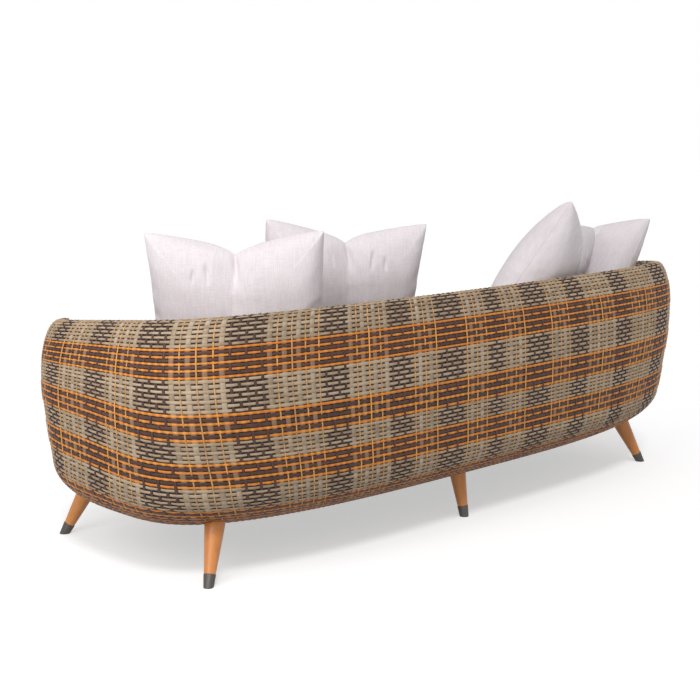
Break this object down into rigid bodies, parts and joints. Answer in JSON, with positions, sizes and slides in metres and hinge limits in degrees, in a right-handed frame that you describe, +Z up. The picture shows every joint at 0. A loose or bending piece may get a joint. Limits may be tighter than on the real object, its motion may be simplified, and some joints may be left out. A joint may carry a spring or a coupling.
{
  "type": "rattan garden sofa",
  "caption": "Tub-shaped garden sofa woven in striped and plaid strands, with wrap-around arms, splayed wooden legs and loose cushions.",
  "frame": {"origin": "middle of the footprint of the whole sofa, on the floor", "axes": "+X towards the left of somebody sitting on it, +Y towards its back, +Z up"},
  "size_m": [2.3, 0.897, 0.9632],
  "materials": {
    "weave": "woven strands in grey-beige, dark brown and orange",
    "frame": "powder coated",
    "wood": "oiled, satin",
    "ferrule": "satin",
    "board": "plain board",
    "seat_fabric": "woven, matt",
    "scatter_fabric": "woven, matt"
  },
  "bodies": {
    "root": {"base_ring_left": "frame", "base_ring_back": "frame", "base_ring_right": "frame", "base_ring_front": "frame", "seat_rail_back": "frame", "seat_rail_front": "frame", "seat_rail_left": "frame", "seat_rail_right": "frame", "cross_bar_left": "frame", "deck_bar_left": "frame", "cross_bar_middle": "frame", "deck_bar_middle": "frame", "cross_bar_right": "frame", "deck_bar_right": "frame", "seat_post_front_left": "frame", "leg_front_left": "wood", "ferrule_front_left": "ferrule", "leg_plate_front_left": "frame", "seat_post_front_middle": "frame", "leg_front_middle": "wood", "ferrule_front_middle": "ferrule", "leg_plate_front_middle": "frame", "seat_post_front_right": "frame", "leg_front_right": "wood", "ferrule_front_right": "ferrule", "leg_plate_front_right": "frame", "seat_post_back_left": "frame", "leg_back_left": "wood", "ferrule_back_left": "ferrule", "leg_plate_back_left": "frame", "seat_post_back_middle": "frame", "leg_back_middle": "wood", "ferrule_back_middle": "ferrule", "leg_plate_back_middle": "frame", "seat_post_back_right": "frame", "leg_back_right": "wood", "ferrule_back_right": "ferrule", "leg_plate_back_right": "frame", "leg_rail_front": "frame", "leg_rail_back": "frame", "rib_left_front": "frame", "rib_left_side": "frame", "rib_left_back": "frame", "rib_right_front": "frame", "rib_right_side": "frame", "rib_right_back": "frame", "top_rail_left": "frame", "top_rail_back": "frame", "top_rail_right": "frame", "outer_weave": "weave", "inner_weave": "weave", "seat_deck": "board", "seat_cushion_left": "seat_fabric", "seat_cushion_right": "seat_fabric", "scatter_cushion_left_outer": "scatter_fabric", "scatter_cushion_left_inner": "scatter_fabric", "scatter_cushion_right_outer": "scatter_fabric", "scatter_cushion_right_inner": "scatter_fabric"}
  },
  "joints": []
}
